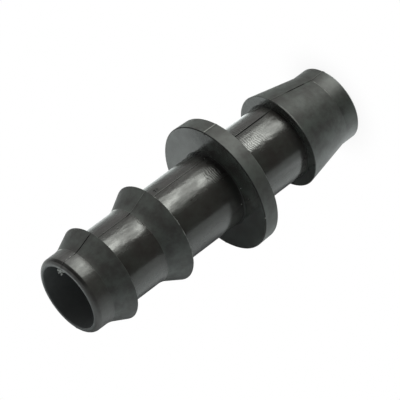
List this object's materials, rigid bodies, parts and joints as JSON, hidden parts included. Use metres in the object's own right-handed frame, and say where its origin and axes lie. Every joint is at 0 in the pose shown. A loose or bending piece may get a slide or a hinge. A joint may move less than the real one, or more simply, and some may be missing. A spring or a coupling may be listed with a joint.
{
  "type": "drip line coupler",
  "caption": "One-piece moulded barbed coupler with a stop collar, pushed into drip irrigation tubing at each end to join two lengths.",
  "frame": {"origin": "centre of the lower end face, at the tip of the single long barb", "axes": "+Z along the bore, towards the end with two barbs; the mould's parting plane is XZ, with a fine flash line down each side at +X and -X"},
  "size_m": [0.0212, 0.021, 0.054],
  "materials": {
    "black_plastic": "moulded, satin on the shafts and duller on the barbs"
  },
  "bodies": {
    "root": {"coupler": "black_plastic"}
  },
  "joints": []
}
